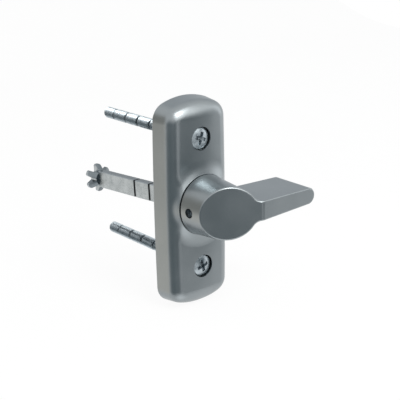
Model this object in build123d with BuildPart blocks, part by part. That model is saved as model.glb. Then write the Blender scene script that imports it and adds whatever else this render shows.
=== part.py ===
from build123d import *

import os
from math import cos, radians, sin

# Lever thumb turn on a long escutcheon, with a star-ended tail bar and two snap-off fixing screws
# Frame: X to the right along the escutcheon's width, Y into the door, Z up
# The origin is on the turning axis, in the escutcheon's back face, which lies on the door
# A value named "..._level" is a distance from that back face towards the user, along -Y
# Sketches on Plane.XZ have X and Z as their own axes and extrude towards the user

# Escutcheon: a die-cast cover, hollow at the back
plate_width = 33.0
plate_height = 90.0
plate_depth = 12.0
plate_drop = 0.8
plate_side_bow = 0.5
plate_end_rise = 4.2
plate_corner_radius = 7.8
plate_draft = 7.0
plate_crown_radius = 95.0
plate_end_roll = 8.0
plate_edge_radius = 5.6
plate_back_edge = 0.6
plate_wall = 2.6

# Raised collar that carries the lever
collar_height = 1.0
collar_top_radius = 13.1
collar_flare = 14.0
collar_skirt = 2.6
collar_blend_radius = 1.0
collar_edge_radius = 0.15
bearing_boss_radius = 12.0
bearing_boss_length = 3.4

# Fixing screws: pan-head machine screws with snap-off grooves
screw_spacing = 55.5
screw_diameter = 5.0
screw_reach = 55.5
screw_head_diameter = 9.0
screw_head_height = 3.2
screw_head_crown = 0.9
screw_head_sink = 0.2
screw_hole_clearance = 0.25
counterbore_clearance = 0.45
screw_post_wall = 2.2
screw_tip_chamfer = 0.8
snap_groove_first = 47.9
snap_groove_pitch = 9.0
snap_groove_width = 1.0
snap_groove_depth = 0.7
snap_groove_count = 5
cross_slot_width = 1.5
cross_slot_length = 5.4
cross_slot_depth = 2.0
cross_slot_taper = 8.0

# Lever: hub, arm and spigot cast in one piece
seam_gap = 0.4
hub_base_radius = 12.8
hub_draft = 5.5
arm_reach = 43.4
arm_tip_radius = 3.8
arm_root_half = 4.8
arm_draft = 0.6
arm_blend_radius = 4.0
arm_root_x = 12.2
arm_tip_level = 34.4
face_left_x = 11.7
face_level_left = 24.4
face_level_right = 36.0
face_break_radius = 3.0
front_slope_limit = 45.0
lever_edge_radius = 0.7
lever_back_radius = 0.3
spigot_radius = 8.45
spigot_back_level = 1.6
spigot_chamfer = 0.5

# Bearing bush, washers and circlip on the spigot
bush_wall = 1.0
bush_flange_radius = 11.2
bush_flange_thickness = 1.2
bush_lead_chamfer = 0.4
running_clearance = 0.05
bush_seat_clearance = 0.02
washer_thickness = 0.8
washer_radius = 11.2
washer_bore_clearance = 0.15
spring_washer_thickness = 0.45
spring_washer_height = 1.1
spring_washer_radius = 10.8
circlip_thickness = 1.0
circlip_groove_depth = 0.5
circlip_clearance = 0.03
circlip_band = 1.7
circlip_gap_angle = 40.0
circlip_lug_radius = 1.5
circlip_lug_angle = 10.0
circlip_lug_hole_radius = 0.6
stack_clearance = 0.03

# Tail bar: a loose flat bar with snap-off grooves and a six-lobed drive end
# Its lengths are measured along it from its pivot in the hub
bar_height = 7.8
bar_thickness = 4.0
bar_length = 85.5
bar_sag = 4.0
bar_slot_clearance = 0.1
bar_swing_clearance = 0.12
bar_nose_clearance = 0.3
bar_edge_chamfer = 0.3
bar_groove_last = 51.85
bar_groove_pitch = 11.1
bar_groove_width = 0.9
bar_groove_depth = 0.6
bar_groove_count = 4
star_radius = 6.6
star_thickness = 4.6
star_ramp = 3.0
star_core_radius = 3.4
star_lobe_width = 2.7
star_lobe_count = 6
star_lobe_tip_radius = 0.9

# Grub screw in the hub's side, with a dog point that the tail bar swings on
grub_diameter = 4.0
grub_length = 8.2
grub_height = 4.8
grub_hole_clearance = 0.03
grub_dog_radius = 1.25
grub_dog_reach = 1.7
grub_shoulder_clearance = 0.2
grub_hex_across_flats = 2.0
grub_hex_depth = 2.2
grub_edge_chamfer = 0.5

# Levels and radii worked out from the sizes above
half_width = plate_width / 2
half_height = plate_height / 2
collar_level = plate_depth + collar_height
crown_axis = Axis((0, plate_crown_radius - plate_depth, 0), (0, 0, 1))
inside_level = plate_depth - plate_wall
hub_base_level = collar_level + seam_gap
bush_bore_radius = spigot_radius + running_clearance
bush_radius = bush_bore_radius + bush_wall
boss_back_level = inside_level - bearing_boss_length
bush_flange_top = hub_base_level - stack_clearance
bush_flange_seat = bush_flange_top - bush_flange_thickness
spring_top = boss_back_level - stack_clearance
spring_bottom = spring_top - spring_washer_height
washer_top = spring_bottom - stack_clearance
washer_bottom = washer_top - washer_thickness
circlip_top = washer_bottom - stack_clearance
circlip_bottom = circlip_top - circlip_thickness
groove_radius = spigot_radius - circlip_groove_depth
washer_bore_radius = spigot_radius + washer_bore_clearance
counterbore_radius = screw_head_diameter / 2 + counterbore_clearance
screw_seat_level = plate_depth - screw_head_sink - screw_head_height
screw_z = screw_spacing / 2
lever_depth = face_level_right - hub_base_level
front_normal_limit = -cos(radians(front_slope_limit))
face_slope = (face_level_right - face_level_left) / (arm_root_x + face_left_x)
arm_tip_x = arm_reach - arm_tip_radius
grub_level = hub_base_level + grub_height
grub_shoulder_x = bar_thickness / 2 + grub_shoulder_clearance
grub_outer_x = grub_shoulder_x + grub_length
bar_nose_radius = bar_height / 2
pivot_to_spigot_end = grub_level - spigot_back_level
bar_slot_half = bar_nose_radius / cos(radians(bar_sag)) + pivot_to_spigot_end * sin(radians(bar_sag))
bar_slot_height = 2 * (bar_slot_half + bar_swing_clearance)
bar_slot_depth = pivot_to_spigot_end + bar_nose_radius + bar_nose_clearance
pivot_point = (0, -grub_level, 0)
bar_axis = Vector(0, cos(radians(bar_sag)), -sin(radians(bar_sag)))
bar_across = Plane(origin=pivot_point, x_dir=(1, 0, 0), z_dir=-bar_axis)
bar_side = Plane(origin=pivot_point, x_dir=bar_axis, z_dir=(1, 0, 0))
star_front = bar_length - star_thickness

os.makedirs("parts", exist_ok=True)


def plate_outline(inset):
    """Front outline of the escutcheon: bowed sides and arched ends, drawn inset by a given distance."""
    side = half_width - inset
    end = half_height - inset
    shoulder_x = side - plate_side_bow
    shoulder_z = end - plate_end_rise
    with BuildSketch(mode=Mode.PRIVATE) as outline:
        with BuildLine():
            ThreePointArc((shoulder_x, -shoulder_z), (side, 0), (shoulder_x, shoulder_z))
            ThreePointArc((shoulder_x, shoulder_z), (0, end), (-shoulder_x, shoulder_z))
            ThreePointArc((-shoulder_x, shoulder_z), (-side, 0), (-shoulder_x, -shoulder_z))
            ThreePointArc((-shoulder_x, -shoulder_z), (0, -end), (shoulder_x, -shoulder_z))
        make_face()
        fillet(outline.vertices(), plate_corner_radius - inset)
    return outline.sketch.moved(Location((0, -plate_drop)))


def crown_section(inset):
    """Half section of the drum that forms the front, rolled down at both ends, inset by a given distance."""
    radius = plate_crown_radius - inset
    with BuildSketch(mode=Mode.PRIVATE) as section:
        with Locations((plate_crown_radius - plate_depth - radius / 2, -plate_drop)):
            Rectangle(radius, plate_height - 2 * inset)
        fillet(section.vertices().group_by(Axis.X)[0], plate_end_roll - inset)
    return section.sketch


# Hollow of the escutcheon, which follows its outside at the wall's thickness
with BuildPart() as hollow:
    with BuildSketch(Plane.XZ):
        add(plate_outline(plate_wall))
    extrude(amount=inside_level, taper=plate_draft)
    with BuildSketch(Plane.YZ):
        add(crown_section(plate_wall))
    revolve(axis=crown_axis, mode=Mode.INTERSECT)

# Escutcheon: its front is crowned across the width and rolls down towards both ends
with BuildPart() as escutcheon:
    with BuildSketch(Plane.XZ):
        add(plate_outline(0))
    extrude(amount=plate_depth, taper=plate_draft)
    with BuildSketch(Plane.YZ):
        add(crown_section(0))
    revolve(axis=crown_axis, mode=Mode.INTERSECT)
    plate_front = escutcheon.faces().filter_by(lambda face: face.normal_at().Y < front_normal_limit)
    fillet(plate_front.edges().filter_by(GeomType.CIRCLE, reverse=True), plate_edge_radius)
    with BuildSketch(Plane.XZ.offset(collar_level)):
        Circle(collar_top_radius)
    extrude(amount=-collar_height - collar_skirt, taper=-collar_flare)
    # The collar runs out into the front and its rounded edge in a hollow sweep
    collar_side = escutcheon.faces().filter_by(GeomType.CONE).sort_by(Axis.Y)[0]
    collar_rim = collar_side.edges().sort_by(Axis.Y)[0]
    collar_roots = collar_side.edges().filter_by(
        lambda edge: edge.bounding_box().size.Z > collar_height and edge.center().Y > collar_rim.center().Y
    )
    fillet(collar_roots, collar_blend_radius)
    fillet(escutcheon.faces().sort_by(Axis.Y)[0].edges(), collar_edge_radius)
    fillet(escutcheon.faces().sort_by(Axis.Y)[-1].edges(), plate_back_edge)
    add(hollow.part, mode=Mode.SUBTRACT)
    # Screw posts and the bearing boss stand inside
    with BuildSketch(Plane.XZ):
        with Locations((0, screw_z), (0, -screw_z)):
            Circle(counterbore_radius + screw_post_wall)
    extrude(amount=inside_level)
    with BuildSketch(Plane.XZ.offset(boss_back_level)):
        Circle(bearing_boss_radius)
    extrude(amount=bearing_boss_length)
    # Screw holes with flat-bottomed counterbores
    with BuildSketch(Plane.XZ):
        with Locations((0, screw_z), (0, -screw_z)):
            Circle(screw_diameter / 2 + screw_hole_clearance)
    extrude(amount=plate_depth, mode=Mode.SUBTRACT)
    with BuildSketch(Plane.XZ.offset(screw_seat_level)):
        with Locations((0, screw_z), (0, -screw_z)):
            Circle(counterbore_radius)
    extrude(amount=plate_depth, mode=Mode.SUBTRACT)
    # Seat for the bush and its flange
    with BuildSketch(Plane.XZ):
        Circle(bush_radius + bush_seat_clearance)
    extrude(amount=collar_level, mode=Mode.SUBTRACT)
    with BuildSketch(Plane.XZ.offset(bush_flange_seat)):
        Circle(bush_flange_radius + bush_seat_clearance)
    extrude(amount=bush_flange_thickness, mode=Mode.SUBTRACT)
escutcheon.part.label = "escutcheon"

# Bearing bush: a flanged plastic sleeve seated in the collar
with BuildPart() as bush:
    with BuildSketch(Plane.XZ.offset(boss_back_level)):
        Circle(bush_radius)
    extrude(amount=bush_flange_top - boss_back_level)
    chamfer(bush.faces().sort_by(Axis.Y)[-1].edges(), bush_lead_chamfer)
    with BuildSketch(Plane.XZ.offset(bush_flange_seat)):
        Circle(bush_flange_radius)
    extrude(amount=bush_flange_thickness)
    with BuildSketch(Plane.XZ.offset(boss_back_level)):
        Circle(bush_bore_radius)
    extrude(amount=bush_flange_top - boss_back_level, mode=Mode.SUBTRACT)
bush.part.label = "bearing_bush"

# Lever: a tapered hub with a slanting round face, and a deep flat arm with a round tip
with BuildPart() as lever:
    with BuildSketch(Plane.XZ.offset(hub_base_level)):
        Circle(hub_base_radius)
    extrude(amount=lever_depth, taper=hub_draft)
    with BuildSketch(Plane.XZ.offset(hub_base_level)):
        with BuildLine():
            Polyline(
                (arm_tip_x, -arm_tip_radius),
                (0, -arm_root_half),
                (0, arm_root_half),
                (arm_tip_x, arm_tip_radius),
            )
            ThreePointArc((arm_tip_x, arm_tip_radius), (arm_reach, 0), (arm_tip_x, -arm_tip_radius))
        make_face()
    extrude(amount=lever_depth, taper=arm_draft)
    arm_roots = lever.edges().filter_by(
        lambda edge: 0 < edge.center().X < hub_base_radius and edge.bounding_box().size.Y > lever_depth / 2
    )
    fillet(arm_roots, arm_blend_radius)
    # Seen from above: a slanting hub face, then the arm's front swept slightly back
    with BuildSketch(Plane.XY) as plan:
        with BuildLine():
            Polyline(
                (-hub_base_radius, -hub_base_level),
                (-hub_base_radius, face_slope * (hub_base_radius - face_left_x) - face_level_left),
                (arm_root_x, -face_level_right),
                (arm_reach, -arm_tip_level),
                (arm_reach, -hub_base_level),
                close=True,
            )
        make_face()
        fillet(plan.vertices().sort_by(Axis.Y)[0], face_break_radius)
    extrude(amount=hub_base_radius, both=True, mode=Mode.INTERSECT)
    lever_front = lever.faces().filter_by(lambda face: face.normal_at().Y < front_normal_limit)
    fillet(lever_front.edges().filter_by(GeomType.LINE, reverse=True), lever_edge_radius)
    fillet(lever.faces().sort_by(Axis.Y)[-1].edges(), lever_back_radius)
    # Spigot through the bush, with the circlip's groove near its end
    with BuildSketch(Plane.XZ.offset(hub_base_level)):
        Circle(spigot_radius)
    extrude(amount=spigot_back_level - hub_base_level)
    chamfer(lever.faces().sort_by(Axis.Y)[-1].edges(), spigot_chamfer)
    with BuildSketch(Plane.XZ.offset(circlip_bottom - stack_clearance)):
        Circle(spigot_radius)
        Circle(groove_radius, mode=Mode.SUBTRACT)
    extrude(amount=washer_bottom - circlip_bottom + stack_clearance, mode=Mode.SUBTRACT)
    # Slot for the tail bar and the cross hole for the grub screw
    with BuildSketch(Plane.XZ.offset(spigot_back_level)):
        Rectangle(bar_thickness + 2 * bar_slot_clearance, bar_slot_height)
    extrude(amount=bar_slot_depth, mode=Mode.SUBTRACT)
    with BuildSketch(Plane.YZ):
        with Locations((-grub_level, 0)):
            Circle(grub_diameter / 2 + grub_hole_clearance)
    extrude(amount=-hub_base_radius, mode=Mode.SUBTRACT)
lever.part.label = "lever"

# Tail bar, sagging on its pivot, with ring grooves where a length can be snapped off
with BuildPart() as bar:
    # Six lobes on a core, ramped down towards the bar
    with BuildSketch(bar_across.offset(-bar_length)):
        with PolarLocations(star_radius / 2, star_lobe_count, start_angle=90):
            RectangleRounded(star_radius, star_lobe_width, star_lobe_tip_radius)
        Circle(star_core_radius)
    extrude(amount=star_thickness)
    with BuildSketch(bar_side):
        with BuildLine():
            Polyline(
                (bar_length, 0),
                (bar_length, star_radius),
                (star_front + star_ramp, star_radius),
                (star_front, star_core_radius),
                (star_front, 0),
                close=True,
            )
        make_face()
    revolve(axis=Axis(pivot_point, bar_axis), mode=Mode.INTERSECT)
    # Flat bar with a round nose about its pivot hole
    with BuildSketch(bar_side):
        with BuildLine():
            Polyline(
                (0, -bar_nose_radius),
                (star_front, -bar_nose_radius),
                (star_front, bar_nose_radius),
                (0, bar_nose_radius),
            )
            ThreePointArc((0, bar_nose_radius), (-bar_nose_radius, 0), (0, -bar_nose_radius))
        make_face()
    extrude(amount=bar_thickness / 2, both=True)
    bar_corners = bar.edges().filter_by(lambda edge: edge.length > star_front - bar_nose_radius)
    chamfer(bar_corners, bar_edge_chamfer)
    with BuildSketch(bar_side):
        Circle(grub_dog_radius + running_clearance)
    extrude(amount=bar_thickness / 2, both=True, mode=Mode.SUBTRACT)
    for groove in range(bar_groove_count):
        with BuildSketch(bar_across.offset(groove * bar_groove_pitch - bar_groove_last)):
            Rectangle(bar_thickness, bar_height)
            offset(amount=-bar_groove_depth, mode=Mode.SUBTRACT)
        extrude(amount=bar_groove_width / 2, both=True, mode=Mode.SUBTRACT)
bar.part.label = "tail_bar"

# Grub screw, its dog point through the tail bar
with BuildPart() as grub:
    with BuildSketch(Plane.YZ.offset(-grub_shoulder_x)):
        with Locations((-grub_level, 0)):
            Circle(grub_diameter / 2)
    extrude(amount=-grub_length)
    chamfer(grub.edges().filter_by(GeomType.CIRCLE), grub_edge_chamfer)
    with BuildSketch(Plane.YZ.offset(-grub_shoulder_x)):
        with Locations((-grub_level, 0)):
            Circle(grub_dog_radius)
    extrude(amount=grub_shoulder_x + grub_dog_reach)
    with BuildSketch(Plane.YZ.offset(-grub_outer_x)):
        with Locations((-grub_level, 0)):
            RegularPolygon(grub_hex_across_flats / 2, 6, major_radius=False)
    extrude(amount=grub_hex_depth, mode=Mode.SUBTRACT)
grub.part.label = "grub_screw"

# Spring washer: a ring cut from thin strip, bowed about an upright line
with BuildPart() as spring:
    spring_bow = spring_washer_height - spring_washer_thickness
    with BuildSketch(Plane.XY):
        with BuildLine():
            ThreePointArc(
                (-spring_washer_radius, -spring_bottom - spring_washer_thickness),
                (0, -spring_top),
                (spring_washer_radius, -spring_bottom - spring_washer_thickness),
            )
            Line(
                (spring_washer_radius, -spring_bottom - spring_washer_thickness),
                (spring_washer_radius, -spring_bottom),
            )
            ThreePointArc(
                (spring_washer_radius, -spring_bottom),
                (0, -spring_bottom - spring_bow),
                (-spring_washer_radius, -spring_bottom),
            )
            Line(
                (-spring_washer_radius, -spring_bottom),
                (-spring_washer_radius, -spring_bottom - spring_washer_thickness),
            )
        make_face()
    extrude(amount=spring_washer_radius, both=True)
    with BuildSketch(Plane.XZ.offset(spring_bottom)):
        Circle(spring_washer_radius)
        Circle(washer_bore_radius, mode=Mode.SUBTRACT)
    extrude(amount=spring_washer_height, mode=Mode.INTERSECT)
spring.part.label = "spring_washer"

# Flat thrust washer
with BuildPart() as washer:
    with BuildSketch(Plane.XZ.offset(washer_bottom)):
        Circle(washer_radius)
        Circle(washer_bore_radius, mode=Mode.SUBTRACT)
    extrude(amount=washer_thickness)
washer.part.label = "thrust_washer"

# Circlip: an open ring with an eyed lug on each side of the gap
with BuildPart() as circlip:
    gap_half = radians(circlip_gap_angle / 2)
    lug_half = radians(circlip_gap_angle / 2 + circlip_lug_angle)
    ring_radius = groove_radius + circlip_band
    lug_places = [(side * ring_radius * sin(lug_half), -ring_radius * cos(lug_half)) for side in (-1, 1)]
    with BuildSketch(Plane.XZ.offset(circlip_bottom)):
        Circle(ring_radius)
        with BuildLine():
            Polyline(
                (0, 0),
                (-2 * ring_radius * sin(gap_half), -2 * ring_radius * cos(gap_half)),
                (2 * ring_radius * sin(gap_half), -2 * ring_radius * cos(gap_half)),
                close=True,
            )
        make_face(mode=Mode.SUBTRACT)
        with Locations(*lug_places):
            Circle(circlip_lug_radius)
        Circle(groove_radius + circlip_clearance, mode=Mode.SUBTRACT)
        with Locations(*lug_places):
            Circle(circlip_lug_hole_radius, mode=Mode.SUBTRACT)
    extrude(amount=circlip_thickness)
circlip.part.label = "circlip"

# Upper fixing screw, turned about its own axis
with BuildPart() as upper_screw:
    head_radius = screw_head_diameter / 2
    shank_radius = screw_diameter / 2
    head_top = screw_seat_level + screw_head_height
    with BuildSketch(Plane.XY.offset(screw_z)):
        with BuildLine():
            ThreePointArc(
                (0, -head_top),
                (head_radius / 2, screw_head_crown / 4 - head_top),
                (head_radius, screw_head_crown - head_top),
            )
            Polyline(
                (head_radius, screw_head_crown - head_top),
                (head_radius, -screw_seat_level),
                (shank_radius, -screw_seat_level),
                (shank_radius, screw_reach - screw_tip_chamfer),
                (shank_radius - screw_tip_chamfer, screw_reach),
                (0, screw_reach),
                (0, -head_top),
            )
        make_face()
    revolve(axis=Axis((0, 0, screw_z), (0, 1, 0)))
    for groove in range(snap_groove_count):
        with BuildSketch(Plane.XZ.offset(groove * snap_groove_pitch - snap_groove_first)):
            with Locations((0, screw_z)):
                Circle(shank_radius)
                Circle(shank_radius - snap_groove_depth, mode=Mode.SUBTRACT)
        extrude(amount=snap_groove_width / 2, both=True, mode=Mode.SUBTRACT)
    # Cross recess in the head
    with BuildSketch(Plane.XZ.offset(head_top)):
        with Locations((0, screw_z)):
            Rectangle(cross_slot_length, cross_slot_width)
            Rectangle(cross_slot_width, cross_slot_length)
    extrude(amount=-cross_slot_depth, taper=cross_slot_taper, mode=Mode.SUBTRACT)
upper_screw.part.label = "fixing_screw_upper"

# Lower fixing screw, the upper one's mirror image below the axis
with BuildPart() as lower_screw:
    mirror(upper_screw.part, about=Plane.XY)
lower_screw.part.label = "fixing_screw_lower"

export_step(escutcheon.part, "parts/escutcheon.step")
export_step(bush.part, "parts/bearing_bush.step")
export_step(lever.part, "parts/lever.step")
export_step(bar.part, "parts/tail_bar.step")
export_step(grub.part, "parts/grub_screw.step")
export_step(spring.part, "parts/spring_washer.step")
export_step(washer.part, "parts/thrust_washer.step")
export_step(circlip.part, "parts/circlip.step")
export_step(upper_screw.part, "parts/fixing_screw_upper.step")
export_step(lower_screw.part, "parts/fixing_screw_lower.step")
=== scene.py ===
"""Looks of a lever thumb turn: satin silver castings, a swept collar, zinc-plated hardware, light and camera.

Every length written here is in millimetres in the part's own frame (X right, Y into the door, Z up)
and is turned to metres where a mesh is made.
"""

import logging
import math
from dataclasses import dataclass, field
from enum import Enum

import bpy
import numpy as np
from mathutils import Matrix, Vector


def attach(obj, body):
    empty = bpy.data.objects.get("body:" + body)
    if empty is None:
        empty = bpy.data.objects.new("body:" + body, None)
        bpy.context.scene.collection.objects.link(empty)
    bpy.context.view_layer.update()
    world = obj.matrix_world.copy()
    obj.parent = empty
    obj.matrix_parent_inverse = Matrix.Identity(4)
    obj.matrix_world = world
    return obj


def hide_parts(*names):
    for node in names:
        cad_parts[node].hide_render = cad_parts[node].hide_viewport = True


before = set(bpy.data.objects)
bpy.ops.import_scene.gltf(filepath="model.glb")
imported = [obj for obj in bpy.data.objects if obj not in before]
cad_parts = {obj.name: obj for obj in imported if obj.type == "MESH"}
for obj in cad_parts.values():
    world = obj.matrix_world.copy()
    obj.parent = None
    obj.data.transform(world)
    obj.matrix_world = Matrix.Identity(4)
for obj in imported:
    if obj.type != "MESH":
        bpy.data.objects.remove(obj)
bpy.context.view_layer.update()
MM = 0.001
# Depth attribute that the thread finish turns into painted shade.
VALLEY = "valley"
WHITE = (1.0, 1.0, 1.0, 1.0)
SHARP_DEGREES = 40.0
# How many octaves each noise has, and how fast they fade.
DRIFT_DETAIL, DRIFT_FADE = 3.0, 0.55
GRAIN_DETAIL, GRAIN_FADE = 4.0, 0.6
# The part of a noise's range that colour and gloss spread over, because it seldom comes near 0 or 1.
COLOUR_LOW, COLOUR_HIGH = 0.32, 0.68
GLOSS_LOW, GLOSS_HIGH = 0.3, 0.7
log = logging.getLogger("thumb_turn")


class Body(Enum):
    """Rigid bodies that the pieces made here ride on."""

    BASE = "base"


def linear(hex_colour: str) -> tuple[float, float, float, float]:
    """Turn an sRGB hex colour into linear light.

    Args:
        hex_colour: six hex digits, such as "8a9094".

    Returns:
        Red, green, blue and an alpha of 1, in linear light.
    """
    srgb = np.array([int(hex_colour[i:i + 2], 16) for i in (0, 2, 4)]) / 255.0
    light = np.where(srgb <= 0.04045, srgb / 12.92, ((srgb + 0.055) / 1.055) ** 2.4)
    return (*light.tolist(), 1.0)


def per_metre(size_mm: float) -> float:
    """Pattern scale, in repeats per metre, of a feature that is size_mm across."""
    return 1.0 / (size_mm * MM)


def add_node(tree: bpy.types.NodeTree, kind: str, settings: dict | None = None,
             inputs: dict | None = None) -> bpy.types.Node:
    """Add one node with its settings, values and links.

    Args:
        tree: node tree that takes the node.
        kind: the node's type name.
        settings: attributes of the node itself.
        inputs: input socket to a value, or to the output socket that it is linked from.

    Returns:
        The new node.
    """
    node = tree.nodes.new(kind)
    for name, value in (settings or {}).items():
        setattr(node, name, value)
    for socket, value in (inputs or {}).items():
        if isinstance(value, bpy.types.NodeSocket):
            tree.links.new(value, node.inputs[socket])
        else:
            node.inputs[socket].default_value = value
    return node


def blank_material(name: str) -> tuple[bpy.types.Material, bpy.types.NodeTree]:
    """Make a node material with an empty tree.

    Args:
        name: the material's name.

    Returns:
        The material and its node tree.
    """
    material = bpy.data.materials.new(name)
    material.use_nodes = True
    material.node_tree.nodes.clear()
    return material, material.node_tree


@dataclass(frozen=True)
class Finish:
    """A surface made of one colour that drifts between two shades, with grain in its gloss and relief."""

    name: str
    shade: str
    tint: str
    metallic: float
    roughness: float
    roughness_drift: float
    drift_mm: float
    grain_mm: float
    grain_relief_mm: float
    grain_stretch: tuple[float, float, float] = (1.0, 1.0, 1.0)
    grain_tone: float = 0.25

    def overlay(self, tree: bpy.types.NodeTree, coordinates: bpy.types.Node,
                colour: bpy.types.NodeSocket) -> bpy.types.NodeSocket:
        """Colour with what lies over this finish, which is nothing here."""
        return colour

    def build(self) -> bpy.types.Material:
        """Build the node material.

        Returns:
            The material, which reads Object coordinates.
        """
        material, tree = blank_material(self.name)
        coordinates = add_node(tree, "ShaderNodeTexCoord")
        place = coordinates.outputs["Object"]
        drift = add_node(tree, "ShaderNodeTexNoise", None, {
            "Vector": place, "Scale": per_metre(self.drift_mm),
            "Detail": DRIFT_DETAIL, "Roughness": DRIFT_FADE}).outputs["Fac"]
        drawn = add_node(tree, "ShaderNodeMapping", None, {
            "Vector": place, "Scale": Vector(self.grain_stretch)}).outputs["Vector"]
        grain = add_node(tree, "ShaderNodeTexNoise", None, {
            "Vector": drawn, "Scale": per_metre(self.grain_mm),
            "Detail": GRAIN_DETAIL, "Roughness": GRAIN_FADE}).outputs["Fac"]
        tone = add_node(tree, "ShaderNodeMix", {"data_type": "FLOAT"}, {
            0: self.grain_tone, 2: drift, 3: grain}).outputs[0]
        spread = add_node(tree, "ShaderNodeMapRange", None, {
            "Value": tone, "From Min": COLOUR_LOW, "From Max": COLOUR_HIGH}).outputs["Result"]
        colour = add_node(tree, "ShaderNodeMix", {"data_type": "RGBA"}, {
            0: spread, 6: linear(self.shade), 7: linear(self.tint)}).outputs[2]
        colour = self.overlay(tree, coordinates, colour)
        gloss = add_node(tree, "ShaderNodeMapRange", None, {
            "Value": tone, "From Min": GLOSS_LOW, "From Max": GLOSS_HIGH,
            "To Min": self.roughness - self.roughness_drift,
            "To Max": self.roughness + self.roughness_drift}).outputs["Result"]
        relief = add_node(tree, "ShaderNodeBump", None, {
            "Height": grain, "Strength": 1.0, "Distance": self.grain_relief_mm * MM}).outputs["Normal"]
        shader = add_node(tree, "ShaderNodeBsdfPrincipled", None, {
            "Base Color": colour, "Roughness": gloss, "Normal": relief,
            "Metallic": self.metallic}).outputs["BSDF"]
        add_node(tree, "ShaderNodeOutputMaterial", None, {"Surface": shader})
        return material


@dataclass(frozen=True)
class ThreadFinish(Finish):
    """A finish with painted shade in its valleys, as deep as the mesh's own attribute says."""

    valley_painted_shade: str = "70787d"

    def overlay(self, tree: bpy.types.NodeTree, coordinates: bpy.types.Node,
                colour: bpy.types.NodeSocket) -> bpy.types.NodeSocket:
        """Colour with painted shade in the valleys.

        Args:
            tree: the material's node tree.
            coordinates: its Texture Coordinate node.
            colour: the bare finish.

        Returns:
            The darkened colour.
        """
        # Painted shade: the valley attribute mixes in a darker colour.
        valley = add_node(tree, "ShaderNodeAttribute", {"attribute_name": VALLEY}).outputs["Fac"]
        return add_node(tree, "ShaderNodeMix", {"data_type": "RGBA"}, {
            0: valley, 6: colour, 7: linear(self.valley_painted_shade)}).outputs[2]


@dataclass(frozen=True)
class FlatBarFinish(Finish):
    """A finish on flat bar with painted shade on the faces that turn away from X and in and beside the grooves."""

    edge_painted_shade: str = "6f777b"
    groove_painted_shade: str = "4d5357"
    pivot_level: float = 18.2
    sag_degrees: float = 4.0
    groove_last: float = 51.85
    groove_pitch: float = 11.1
    groove_half_width: float = 0.45
    painted_shade_width: float = 0.6
    face_from: float = 0.9
    edge_from: float = 0.5

    def overlay(self, tree: bpy.types.NodeTree, coordinates: bpy.types.Node,
                colour: bpy.types.NodeSocket) -> bpy.types.NodeSocket:
        """Colour with painted shade where the face turns away from X, and painted shade in and beside the grooves.

        The grooves are counted along the bar's own line, which sags from its pivot: the distance to the nearest
        is a triangle wave of that length, as long as it isn't past the last groove.

        Args:
            tree: the material's node tree.
            coordinates: its Texture Coordinate node.
            colour: the rolled faces' finish.

        Returns:
            The darkened colour.
        """
        # Painted shade on the faces that turn away from X.
        across = add_node(tree, "ShaderNodeSeparateXYZ", None, {0: coordinates.outputs["Normal"]}).outputs["X"]
        facing = add_node(tree, "ShaderNodeMath", {"operation": "ABSOLUTE"}, {0: across}).outputs["Value"]
        edge = add_node(tree, "ShaderNodeMapRange", None, {
            "Value": facing, "From Min": self.face_from, "From Max": self.edge_from}).outputs["Result"]
        edge_shaded = add_node(tree, "ShaderNodeMix", {"data_type": "RGBA"}, {
            0: edge, 6: colour, 7: linear(self.edge_painted_shade)}).outputs[2]
        # Painted shade in and beside the grooves, counted along the bar's line.
        sag = math.radians(self.sag_degrees)
        line = add_node(tree, "ShaderNodeMapping", None, {
            "Vector": coordinates.outputs["Object"], "Rotation": (sag, 0.0, 0.0),
            "Location": (0.0, (self.pivot_level * math.cos(sag) - self.groove_last) * MM, 0.0)}).outputs["Vector"]
        past = add_node(tree, "ShaderNodeSeparateXYZ", None, {0: line}).outputs["Y"]
        nearest = add_node(tree, "ShaderNodeMath", {"operation": "PINGPONG"}, {
            0: past, 1: self.groove_pitch / 2.0 * MM}).outputs["Value"]
        painted_shade_near_groove = add_node(tree, "ShaderNodeMapRange", {"interpolation_type": "SMOOTHSTEP"}, {
            "Value": nearest, "From Min": self.groove_half_width * MM,
            "From Max": (self.groove_half_width + self.painted_shade_width) * MM,
            "To Min": 1.0, "To Max": 0.0}).outputs["Result"]
        short = add_node(tree, "ShaderNodeMath", {"operation": "LESS_THAN"}, {
            0: past, 1: self.groove_pitch / 2.0 * MM}).outputs["Value"]
        share = add_node(tree, "ShaderNodeMath", {"operation": "MULTIPLY"}, {0: painted_shade_near_groove, 1: short}).outputs["Value"]
        return add_node(tree, "ShaderNodeMix", {"data_type": "RGBA"}, {
            0: share, 6: edge_shaded, 7: linear(self.groove_painted_shade)}).outputs[2]


# Zinc die casting, blasted and finished in satin silver: an even grey sheen with a very fine tooth.
# The tooth is drawn at 0.6 mm so that it shows.
SATIN_SILVER = Finish("satin_silver_casting", shade="8b9295", tint="979da0", metallic=1.0, roughness=0.31,
                      roughness_drift=0.02, drift_mm=18.0, grain_mm=0.6, grain_relief_mm=0.002)
# Bright zinc plate on turned and rolled steel: bluish, glossier, with uneven plating clouds.
ZINC_PLATE = Finish("bright_zinc_plated_steel", shade="a1a9ae", tint="b9c1c6", metallic=1.0, roughness=0.30,
                    roughness_drift=0.08, drift_mm=5.0, grain_mm=0.25, grain_relief_mm=0.006)
# The same plate on rolled threads, with painted shade in the valleys, the snap-off grooves and the cross recess.
ZINC_THREAD = ThreadFinish("zinc_plated_thread", shade="969fa4", tint="bcc5cb", metallic=1.0, roughness=0.30,
                           roughness_drift=0.08, drift_mm=2.5, grain_mm=0.2, grain_relief_mm=0.008)
# The same plate on rolled flat bar, streaked by the rolls along it, with painted shade on its edges and in and
# beside its grooves.
ZINC_BAR = FlatBarFinish("zinc_plated_flat_bar", shade="949da3", tint="c3cbd0", metallic=1.0, roughness=0.30,
                         roughness_drift=0.08, drift_mm=3.0, grain_mm=0.35, grain_relief_mm=0.01,
                         grain_stretch=(1.0, 0.35, 1.0), grain_tone=0.5)
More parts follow.
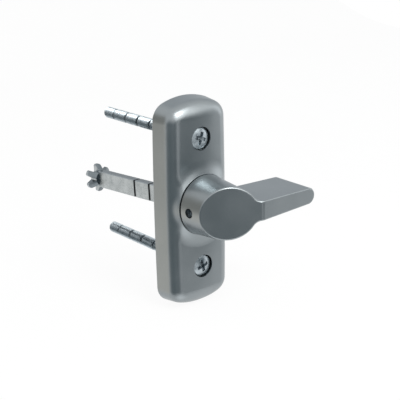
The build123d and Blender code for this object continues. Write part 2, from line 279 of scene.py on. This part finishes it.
# Oiled spring steel, blued by heat treatment.
SPRING_STEEL = Finish("oiled_spring_steel", shade="4a4b4e", tint="5d5f63", metallic=1.0, roughness=0.34,
                      roughness_drift=0.06, drift_mm=4.0, grain_mm=0.2, grain_relief_mm=0.004)
# Moulded acetal in its natural off-white: a waxy, faintly clouded skin.
ACETAL = Finish("moulded_acetal", shade="d6d5cc", tint="e3e2da", metallic=0.0, roughness=0.42,
                roughness_drift=0.04, drift_mm=6.0, grain_mm=0.3, grain_relief_mm=0.003)


def closed_rows(rows: np.ndarray) -> tuple[np.ndarray, np.ndarray, np.ndarray]:
    """Skin a stack of closed rings, and close both ends with a fan to the end ring's centre.

    Args:
        rows: ring points, shaped (rings, points per ring, 3).

    Returns:
        Vertices, quads and triangles.
    """
    rings, points, _ = rows.shape
    index = np.arange(rings * points).reshape(rings, points)
    after = np.roll(index, -1, axis=1)
    quads = np.stack([index[:-1], after[:-1], after[1:], index[1:]], axis=-1).reshape(-1, 4)
    first, last = rings * points, rings * points + 1
    fans = np.concatenate([
        np.stack([after[0], index[0], np.full(points, first)], axis=-1),
        np.stack([index[-1], after[-1], np.full(points, last)], axis=-1)])
    centres = np.stack([rows[0].mean(axis=0), rows[-1].mean(axis=0)])
    return np.concatenate([rows.reshape(-1, 3), centres]), quads, fans


def closed_loop(rows: np.ndarray) -> tuple[np.ndarray, np.ndarray, np.ndarray]:
    """Skin rings that follow each other round and meet the first one again, as on a hoop.

    Args:
        rows: ring points, shaped (rings, points per ring, 3).

    Returns:
        Vertices, quads and no triangles.
    """
    rings, points, _ = rows.shape
    index = np.arange(rings * points).reshape(rings, points)
    after = np.roll(index, -1, axis=1)
    quads = np.stack([index, after, np.roll(after, -1, axis=0), np.roll(index, -1, axis=0)], axis=-1)
    return rows.reshape(-1, 3), quads.reshape(-1, 4), np.empty((0, 3), dtype=int)


def mesh_piece(name: str, shells: list[tuple[np.ndarray, np.ndarray, np.ndarray]],
               material: bpy.types.Material, valley: np.ndarray) -> bpy.types.Object:
    """Join shells into one mesh object at the origin, smooth-shaded apart from its sharp edges.

    Args:
        name: the piece's name.
        shells: vertices in millimetres, quads and triangles of each shell.
        material: the piece's material.
        valley: how deep each vertex lies in a groove, from 0 to 1, which sets the painted shade there.

    Returns:
        The new object, linked to the scene.
    """
    offsets = np.cumsum([0] + [len(shell[0]) for shell in shells])
    vertices = np.concatenate([shell[0] for shell in shells]) * MM
    faces = [face for shell, start in zip(shells, offsets)
             for block in shell[1:] for face in (block + start).tolist()]
    mesh = bpy.data.meshes.new(name)
    mesh.from_pydata(vertices.tolist(), [], faces)
    mesh.polygons.foreach_set("use_smooth", np.ones(len(mesh.polygons), dtype=bool))
    mesh.set_sharp_from_angle(angle=math.radians(SHARP_DEGREES))
    mesh.attributes.new(VALLEY, "FLOAT", "POINT").data.foreach_set("value", valley.astype(np.float32))
    mesh.materials.append(material)
    piece = bpy.data.objects.new(name, mesh)
    bpy.context.scene.collection.objects.link(piece)
    return piece


def smooth_step(value: np.ndarray, low: float, high: float) -> np.ndarray:
    """Cubic ramp from 0 at low to 1 at high."""
    t = np.clip((value - low) / (high - low), 0.0, 1.0)
    return t * t * (3.0 - 2.0 * t)


@dataclass
class FixingScrew:
    """A pan-head screw with a cross recess, a rolled thread and snap-off grooves, along +Y at one height."""

    node: str
    axis_z: float
    turn_degrees: float
    head_radius: float = 4.5
    head_top: float = 11.8
    seat: float = 8.6
    crown: float = 0.9
    rim_round: float = 0.35
    recess_half_width: float = 0.75
    recess_half_length: float = 2.7
    recess_depth: float = 2.0
    recess_rise: float = 0.65
    recess_wall_slope: float = 4.0
    recess_margin: float = 0.15
    seat_edge: float = 0.1
    shank_radius: float = 2.5
    shank_in_head: float = 0.5
    thread_depth: float = 0.5
    thread_pitch: float = 0.8
    thread_start: float = -3.0
    thread_shoulder: float = 0.4
    thread_run_in: float = 1.5
    flank_gain: float = 1.25
    crest_flat: float = 0.1
    reach: float = 55.5
    tip_chamfer: float = 0.8
    groove_first: float = 47.9
    groove_pitch: float = 9.0
    groove_count: int = 5
    groove_half_width: float = 0.5
    groove_depth: float = 0.7
    groove_wall: float = 0.22
    # Where the painted shade starts in the thread and the recess, and how far round the recess it reaches.
    painted_shade_start: float = 0.15
    painted_shade_margin: float = 0.1
    level_slack: float = 0.01
    head_points: int = 288
    recess_rows: int = 70
    dome_rows: int = 14
    rim_rows: int = 7
    row_gap: float = 0.05
    axis_gap: float = 0.02
    shank_points: int = 56
    rows_per_pitch: int = 9

    def head(self) -> tuple[np.ndarray, np.ndarray, np.ndarray]:
        """Head: a shallow dome of revolution with a cross sunk into it.

        The dome falls with the square of the radius. The cross is the larger of two bars' inset distances,
        times the wall's slope, held at a floor that rises from the recess's depth towards the ends of its arms.

        Returns:
            Vertices, quads and triangles of the closed head.
        """
        angle = np.linspace(0.0, 2.0 * np.pi, self.head_points, endpoint=False)
        fine_end = self.recess_half_length + self.recess_margin
        dome_end = self.head_radius - self.rim_round
        dome_r = np.concatenate([np.linspace(self.axis_gap, fine_end, self.recess_rows),
                                 np.linspace(fine_end + self.row_gap, dome_end, self.dome_rows)])
        radius, theta = np.meshgrid(dome_r, angle, indexing="ij")
        turned = theta - math.radians(self.turn_degrees)
        across, along = np.abs(radius * np.cos(turned)), np.abs(radius * np.sin(turned))
        bar_a = np.minimum(self.recess_half_width - along, self.recess_half_length - across)
        bar_b = np.minimum(self.recess_half_width - across, self.recess_half_length - along)
        inset = np.clip(np.maximum(bar_a, bar_b), 0.0, None)
        out_along_arm = np.clip(radius / self.recess_half_length, 0.0, 1.0)
        floor = self.recess_depth * (1.0 - self.recess_rise * out_along_arm)
        sunk = np.minimum(inset * self.recess_wall_slope, floor)
        depth = -self.head_top + self.crown * (radius / self.head_radius) ** 2 + sunk
        sweep = np.linspace(0.0, np.pi / 2.0, self.rim_rows)[1:]
        rim_level = -self.head_top + self.crown * (dome_end / self.head_radius) ** 2
        side_r = np.concatenate([self.head_radius - self.rim_round * (1.0 - np.sin(sweep)),
                                 [self.head_radius, self.head_radius, self.shank_radius / 2.0]])
        side_y = np.concatenate([rim_level + self.rim_round * (1.0 - np.cos(sweep)),
                                 [-self.seat - self.seat_edge, -self.seat, -self.seat]])
        radius = np.concatenate([radius, np.repeat(side_r[:, None], self.head_points, axis=1)])
        depth = np.concatenate([depth, np.repeat(side_y[:, None], self.head_points, axis=1)])
        return closed_rows(self.placed(radius, depth, np.broadcast_to(angle, radius.shape)))

    def shank(self) -> tuple[np.ndarray, np.ndarray, np.ndarray]:
        """Shank: a tube whose radius follows a helix.

        The radius is the crest less the thread's depth times a rounded triangle wave of (length over pitch
        minus angle over a turn), and is held down in the grooves and along the tip's chamfer.

        Returns:
            Vertices, quads and triangles of the closed shank.
        """
        count = int((self.reach - self.thread_start) / self.thread_pitch * self.rows_per_pitch)
        length = np.concatenate([[-self.seat - self.shank_in_head, self.thread_start - self.thread_shoulder],
                                 np.linspace(self.thread_start, self.reach, count)])
        angle = np.linspace(0.0, 2.0 * np.pi, self.shank_points, endpoint=False)
        along, theta = np.meshgrid(length, angle, indexing="ij")
        phase = (along / self.thread_pitch - theta / (2.0 * np.pi)) % 1.0
        wave = np.clip(self.flank_gain * np.abs(2.0 * phase - 1.0) - self.crest_flat, 0.0, 1.0)
        full_thread = self.thread_start + self.thread_run_in * self.thread_pitch
        run_in = smooth_step(along, self.thread_start, full_thread)
        radius = self.shank_radius - self.thread_depth * wave * run_in
        centres = self.groove_first - self.groove_pitch * np.arange(self.groove_count)
        nearest = np.abs(along[..., None] - centres).min(axis=-1)
        inside = 1.0 - smooth_step(nearest, self.groove_half_width, self.groove_half_width + self.groove_wall)
        radius = np.minimum(radius, self.shank_radius - self.groove_depth * inside)
        radius = np.minimum(radius, self.shank_radius - self.tip_chamfer + (self.reach - along))
        return closed_rows(self.placed(radius, along, theta))

    def valley(self, points: np.ndarray) -> np.ndarray:
        """How deep points lie in the thread, in a snap-off groove or in the cross recess, which sets the painted
        shade there.

        Args:
            points: points in millimetres.

        Returns:
            0 on the surface to 1 at the bottom, for each point.
        """
        off_axis = np.hypot(points[:, 0], points[:, 2] - self.axis_z)
        thread = smooth_step(self.shank_radius - off_axis, self.painted_shade_start * self.thread_depth, self.thread_depth)
        dome = -self.head_top + self.crown * (off_axis / self.head_radius) ** 2
        recess = smooth_step(points[:, 1] - dome, self.painted_shade_start * self.recess_depth, self.recess_depth)
        on_head = points[:, 1] < -self.seat + self.level_slack
        near_recess = off_axis < self.recess_half_length + self.painted_shade_margin
        return np.where(on_head, np.where(near_recess, recess, 0.0), thread)

    def placed(self, radius: np.ndarray, along: np.ndarray, theta: np.ndarray) -> np.ndarray:
        """Turn lathe coordinates into points: the angle runs from X towards -Z, so that faces point outwards.

        Args:
            radius: distance from the screw's axis.
            along: distance along Y.
            theta: angle about the axis.

        Returns:
            Points in millimetres.
        """
        return np.stack([radius * np.cos(theta), along, self.axis_z - radius * np.sin(theta)], axis=-1)

    def build(self, material: bpy.types.Material) -> bpy.types.Object:
        """Make the screw and let it stand for its CAD node.

        Args:
            material: the plating.

        Returns:
            The finished piece.
        """
        shells = [self.head(), self.shank()]
        piece = mesh_piece(f"threaded_{self.node}", shells, material,
                           np.concatenate([self.valley(shell[0]) for shell in shells]))
        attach(piece, Body.BASE.value)
        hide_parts(self.node)
        return piece


@dataclass
class CollarSweep:
    """The hollow sweep in which the escutcheon's front rises to its collar: a thin skin over both.

    The plate's sizes are the solid's own, so that the sweep's foot runs out into it.
    """

    rim_radius: float = 13.0
    rim_level: float = 12.98
    reach: float = 21.0
    side_limit: float = 15.3
    side_sharpness: float = 8.0
    ramp_power: float = 4.0
    rim_fullness: float = 2.0
    side_fullness: float = 1.0
    thickness: float = 0.6
    foot_sink: float = 0.03
    plate_half_width: float = 16.5
    plate_side_bow: float = 0.5
    plate_bow_reach: float = 40.8
    plate_drop: float = 0.8
    plate_depth: float = 12.0
    plate_draft_degrees: float = 7.0
    plate_crown_radius: float = 95.0
    plate_edge_radius: float = 5.6
    substitutions: int = 8
    points: int = 288
    rows: int = 32
    under_step: int = 8

    def front_level(self, across: np.ndarray, up: np.ndarray) -> np.ndarray:
        """The escutcheon's front without its collar: the crown's arc, then the edge rounding's arc.

        The rounding's centre lies its own radius inside both the crown and the drafted side, which bows with
        the square of the height. A few substitutions of one in the other find it.

        Args:
            across: distance along X.
            up: height along Z.

        Returns:
            How far the front stands out of the door at each point.
        """
        draft = math.radians(self.plate_draft_degrees)
        up_the_bow = (up + self.plate_drop) / self.plate_bow_reach
        side = self.plate_half_width - self.plate_side_bow * up_the_bow ** 2
        sunk = self.plate_crown_radius - self.plate_depth
        inner_crown = self.plate_crown_radius - self.plate_edge_radius
        level = np.full(across.shape, self.plate_depth - self.plate_edge_radius)
        for _ in range(self.substitutions):
            centre = side - level * math.tan(draft) - self.plate_edge_radius / math.cos(draft)
            level = np.sqrt(inner_crown ** 2 - centre ** 2) - sunk
        off_centre = np.abs(across)
        crown = np.sqrt(self.plate_crown_radius ** 2 - across ** 2) - sunk
        edge_square = self.plate_edge_radius ** 2 - (off_centre - centre) ** 2
        edge = level + np.sqrt(np.clip(edge_square, 0.0, None))
        return np.where(off_centre < centre * self.plate_crown_radius / inner_crown, crown, edge)

    def skin(self) -> tuple[np.ndarray, np.ndarray, np.ndarray]:
        """Sweep: the front's level plus the collar's rise there, times a ramp that ends flat at the foot.

        The foot is a circle, cut off smoothly by the escutcheon's sides. The ramp is a power of the share
        of the way left to the foot, filled out near the rim, and more so where the sides cut it short. The
        skin closes on itself under the surface, over fewer rows.

        Returns:
            Vertices, quads and no triangles of the closed skin.
        """
        angle = np.linspace(0.0, 2.0 * np.pi, self.points, endpoint=False)
        way, theta = np.meshgrid(np.linspace(0.0, 1.0, self.rows), angle, indexing="ij")
        power = self.side_sharpness
        foot = (self.reach ** -power + (np.abs(np.cos(theta)) / self.side_limit) ** power) ** (-1.0 / power)
        radius = self.rim_radius + (foot - self.rim_radius) * way
        across, up = radius * np.cos(theta), -radius * np.sin(theta)
        front = self.front_level(across, up)
        rise = self.rim_level - front[:1]
        cut_off = (self.reach - foot) / (self.reach - self.side_limit)
        fullness = self.rim_fullness + self.side_fullness * cut_off
        ramp = (1.0 - way) ** self.ramp_power * (1.0 + fullness * way)
        level = front + rise * ramp - self.foot_sink * way ** 2
        top = np.stack([across, -level, up], axis=-1)
        under = top[::-self.under_step] + np.array([0.0, self.thickness, 0.0])
        return closed_loop(np.concatenate([top, under]))

    def build(self, material: bpy.types.Material) -> bpy.types.Object:
        """Make the sweep, which stays with the escutcheon.

        Args:
            material: the castings' finish.

        Returns:
            The finished piece.
        """
        skin = self.skin()
        piece = mesh_piece("collar_sweep", [skin], material, np.zeros(len(skin[0])))
        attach(piece, Body.BASE.value)
        return piece


@dataclass
class CastAndTurnedNodes:
    """CAD nodes that show as they are, each with the finish that it takes."""

    finishes: dict[str, Finish] = field(default_factory=lambda: {
        "escutcheon": SATIN_SILVER,
        "lever": SATIN_SILVER,
        "bearing_bush": ACETAL,
        "tail_bar": ZINC_BAR,
        "thrust_washer": ZINC_PLATE,
        "spring_washer": SPRING_STEEL,
        "circlip": SPRING_STEEL,
        "grub_screw": ZINC_PLATE,
    })

    def dress(self, built: dict[str, bpy.types.Material]) -> list[str]:
        """Give each node its material.

        Args:
            built: finish name to material.

        Returns:
            The dressed nodes' names.
        """
        for node, finish in self.finishes.items():
            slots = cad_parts[node].data.materials
            slots.clear()
            slots.append(built[finish.name])
        return list(self.finishes)


@dataclass(frozen=True)
class Side:
    """A side of the surround with its own brightness: full within one angle of its axis, gone beyond another."""

    axis: tuple[float, float, float]
    gone_degrees: float
    full_degrees: float
    shade: str
    level: float = 1.0

    def over(self, tree: bpy.types.NodeTree, aim: bpy.types.NodeSocket,
             below: bpy.types.NodeSocket | tuple[float, float, float, float]) -> bpy.types.NodeSocket:
        """Lay this side over the light so far.

        Args:
            tree: the world's node tree.
            aim: the direction looked in.
            below: the light so far, a colour or the socket that it comes from.

        Returns:
            The light with this side in it.
        """
        facing = add_node(tree, "ShaderNodeVectorMath", {"operation": "DOT_PRODUCT"}, {
            0: aim, 1: Vector(self.axis).normalized()}).outputs["Value"]
        share = add_node(tree, "ShaderNodeMapRange", {"interpolation_type": "SMOOTHSTEP"}, {
            "Value": facing, "From Min": math.cos(math.radians(self.gone_degrees)),
            "From Max": math.cos(math.radians(self.full_degrees))}).outputs["Result"]
        light = tuple(part * self.level for part in linear(self.shade)[:3]) + (1.0,)
        return add_node(tree, "ShaderNodeMix", {"data_type": "RGBA"}, {0: share, 6: below, 7: light}).outputs[2]


@dataclass(frozen=True)
class Softbox:
    """A rectangular lamp that looks at the part."""

    name: str
    place: tuple[float, float, float]
    size: tuple[float, float]
    watts: float
    shade: str

    def hang(self) -> bpy.types.Object:
        """Make the lamp and turn it towards the part's origin.

        Returns:
            The lamp object.
        """
        lamp = bpy.data.lights.new(self.name, "AREA")
        lamp.shape = "RECTANGLE"
        lamp.size, lamp.size_y = self.size[0] * MM, self.size[1] * MM
        lamp.energy = self.watts
        lamp.color = linear(self.shade)[:3]
        box = bpy.data.objects.new(self.name, lamp)
        spot = Vector(self.place) * MM
        box.matrix_world = Matrix.Translation(spot) @ (-spot).to_track_quat("-Z", "Y").to_matrix().to_4x4()
        bpy.context.scene.collection.objects.link(box)
        return box


@dataclass
class Studio:
    """Pale floor, softboxes, and a white surround with brighter and dimmer sides."""

    floor_level: float = -45.4
    floor_half: float = 700.0
    floor_rise: float = 500.0
    floor_bend_rows: int = 25
    floor_shade: str = "dcdddd"
    floor_tint: str = "e4e5e5"
    floor_cloud_mm: float = 40.0
    floor_cloud_detail: float = 2.0
    floor_seen_white: float = 0.93
    surround_shade: str = "ffffff"
    # Axis, the angles where it is gone and where it is full, shade and level. Each lies over those before it.
    sides: tuple[Side, ...] = (
        Side((0.03, -0.98, -0.22), 49.0, 27.0, "747e83"),
        Side((0.54, -0.83, -0.06), 30.0, 13.0, "6f797e"),
        Side((1.0, 0.0, 0.0), 47.5, 40.0, "ffffff", 1.05),
        Side((-0.87, -0.42, -0.27), 38.0, 22.0, "848e92"),
        Side((-0.77, 0.57, -0.30), 28.0, 14.0, "fff8ee", 1.13),
        Side((-0.78, 0.61, 0.14), 30.0, 8.0, "b0ada6"),
        Side((0.59, 0.75, 0.42), 46.0, 11.0, "d6dade"),
        Side((0.06, -0.97, -0.18), 14.0, 4.0, "ffffff"),
        Side((0.28, -0.38, -0.88), 46.0, 33.0, "ffffff", 1.05),
        Side((-0.03, -0.52, -0.85), 28.0, 10.0, "ffffff", 1.5),
    )
    # Name, centre, width and height, watts and shade.
    softboxes: tuple[Softbox, ...] = (
        Softbox("key_box", (60.0, -490.0, 390.0), (620.0, 600.0), 2.0, "fffdfa"),
        Softbox("key_core", (10.0, -400.0, 480.0), (220.0, 220.0), 1.45, "fffdfa"),
        Softbox("right_box", (620.0, -260.0, 160.0), (300.0, 500.0), 0.3, "fbfdff"),
    )

    def floor(self) -> bpy.types.Object:
        """Floor that sweeps up at the back: flat, then a quarter circle, carried along X.

        Returns:
            The floor object.
        """
        sweep = np.linspace(0.0, np.pi / 2.0, self.floor_bend_rows)
        bend = self.floor_rise / 2.0
        y = np.concatenate([[-self.floor_half], self.floor_half - bend + bend * np.sin(sweep), [self.floor_half]])
        z = np.concatenate([[0.0], bend * (1.0 - np.cos(sweep)), [self.floor_rise]]) + self.floor_level
        x = np.array([-self.floor_half, self.floor_half])
        points = np.stack([np.broadcast_to(x, (len(y), 2)), np.repeat(y[:, None], 2, 1),
                           np.repeat(z[:, None], 2, 1)], axis=-1)
        row = np.arange(len(y) - 1) * 2
        faces = np.stack([row, row + 1, row + 3, row + 2], axis=-1)
        mesh = bpy.data.meshes.new("studio_floor")
        mesh.from_pydata((points.reshape(-1, 3) * MM).tolist(), [], faces.tolist())
        mesh.polygons.foreach_set("use_smooth", np.ones(len(faces), dtype=bool))
        mesh.materials.append(self.paper())
        floor = bpy.data.objects.new("studio_floor", mesh)
        bpy.context.scene.collection.objects.link(floor)
        return floor

    def paper(self) -> bpy.types.Material:
        """Pale paper: nearly white where the camera sees it, with a little of the object's shadow.

        The castings look through it at the surround.

        Returns:
            The floor's material.
        """
        material, tree = blank_material("studio_paper")
        place = add_node(tree, "ShaderNodeTexCoord").outputs["Object"]
        fibre = add_node(tree, "ShaderNodeTexNoise", None, {
            "Vector": place, "Scale": per_metre(self.floor_cloud_mm),
            "Detail": self.floor_cloud_detail}).outputs["Fac"]
        tone = add_node(tree, "ShaderNodeMix", {"data_type": "RGBA"}, {
            0: fibre, 6: linear(self.floor_shade), 7: linear(self.floor_tint)}).outputs[2]
        matt = add_node(tree, "ShaderNodeBsdfDiffuse", None, {"Color": tone}).outputs["BSDF"]
        white = add_node(tree, "ShaderNodeEmission", None, {"Color": WHITE, "Strength": 1.0}).outputs["Emission"]
        rays = add_node(tree, "ShaderNodeLightPath")
        share = add_node(tree, "ShaderNodeMath", {"operation": "MULTIPLY"}, {
            0: rays.outputs["Is Camera Ray"], 1: self.floor_seen_white}).outputs["Value"]
        paper = add_node(tree, "ShaderNodeMixShader", None, {
            "Fac": share, 1: matt, 2: white}).outputs["Shader"]
        beyond = add_node(tree, "ShaderNodeBsdfTransparent").outputs["BSDF"]
        surface = add_node(tree, "ShaderNodeMixShader", None, {
            "Fac": rays.outputs["Is Glossy Ray"], 1: paper, 2: beyond}).outputs["Shader"]
        add_node(tree, "ShaderNodeOutputMaterial", None, {"Surface": surface})
        return material

    def surround(self) -> None:
        """White surround with its sides laid over each other, and plain white where the camera sees it."""
        world = bpy.data.worlds.new("studio_surround")
        bpy.context.scene.world = world
        world.use_nodes = True
        tree = world.node_tree
        tree.nodes.clear()
        aim = add_node(tree, "ShaderNodeTexCoord").outputs["Generated"]
        light = linear(self.surround_shade)
        for side in self.sides:
            light = side.over(tree, aim, light)
        around = add_node(tree, "ShaderNodeBackground", None, {
            "Color": light, "Strength": 1.0}).outputs["Background"]
        white = add_node(tree, "ShaderNodeBackground", None, {
            "Color": WHITE, "Strength": 1.0}).outputs["Background"]
        seen = add_node(tree, "ShaderNodeLightPath").outputs["Is Camera Ray"]
        mixed = add_node(tree, "ShaderNodeMixShader", None, {"Fac": seen, 1: around, 2: white}).outputs["Shader"]
        add_node(tree, "ShaderNodeOutputWorld", None, {"Surface": mixed})

    def build(self) -> None:
        """Set the floor, the surround and the softboxes."""
        self.floor()
        self.surround()
        for softbox in self.softboxes:
            softbox.hang()
        bpy.context.scene.view_settings.view_transform = "Standard"


@dataclass
class PhotoCamera:
    """Perspective camera fitted to the photograph, given by its angles in radians about the part's origin."""

    azimuth: float = 0.66665
    elevation: float = 0.3119
    roll: float = -0.02132
    distance: float = 411.739
    pixels_per_mm: float = 2.35938
    origin_x: float = -15.563
    origin_y: float = -2.9
    image: float = 400.0
    sensor: float = 36.0
    clip_near: float = 10.0
    clip_far: float = 10000.0

    def build(self) -> bpy.types.Object:
        """Make the camera and set it as the scene's.

        Returns:
            The camera object.
        """
        back = Vector((-math.sin(self.azimuth) * math.cos(self.elevation),
                       -math.cos(self.azimuth) * math.cos(self.elevation), math.sin(self.elevation)))
        right = Vector((math.cos(self.azimuth), -math.sin(self.azimuth), 0.0))
        up = back.cross(right)
        turn = Matrix.Rotation(self.roll, 3, back)
        right, up = turn @ right, turn @ up
        lens = bpy.data.cameras.new("photo_camera")
        lens.sensor_fit = "HORIZONTAL"
        lens.sensor_width = self.sensor
        lens.lens = self.sensor * self.pixels_per_mm * self.distance / self.image
        lens.shift_x = -self.origin_x / self.image
        lens.shift_y = self.origin_y / self.image
        lens.clip_start, lens.clip_end = self.clip_near * MM, self.clip_far * MM
        camera = bpy.data.objects.new("photo_camera", lens)
        matrix = Matrix((right, up, back)).transposed().to_4x4()
        matrix.translation = back * self.distance * MM
        camera.matrix_world = matrix
        bpy.context.scene.collection.objects.link(camera)
        bpy.context.scene.camera = camera
        return camera


def main() -> None:
    """Dress the CAD nodes, add the threaded screws and the collar's sweep, and set the studio and the camera."""
    logging.basicConfig(level=logging.INFO, format="%(name)s: %(message)s")
    built = {finish.name: finish.build()
             for finish in (SATIN_SILVER, ZINC_PLATE, ZINC_THREAD, ZINC_BAR, SPRING_STEEL, ACETAL)}
    for node in CastAndTurnedNodes().dress(built):
        log.info("dressed %s", node)
    screws = (FixingScrew("fixing_screw_upper", axis_z=27.75, turn_degrees=20.0),
              FixingScrew("fixing_screw_lower", axis_z=-27.75, turn_degrees=-15.0))
    for screw in screws:
        log.info("built %s", screw.build(built[ZINC_THREAD.name]).name)
    log.info("built %s", CollarSweep().build(built[SATIN_SILVER.name]).name)
    Studio().build()
    log.info("set %s", PhotoCamera().build().name)


if __name__ == "__main__":
    main()
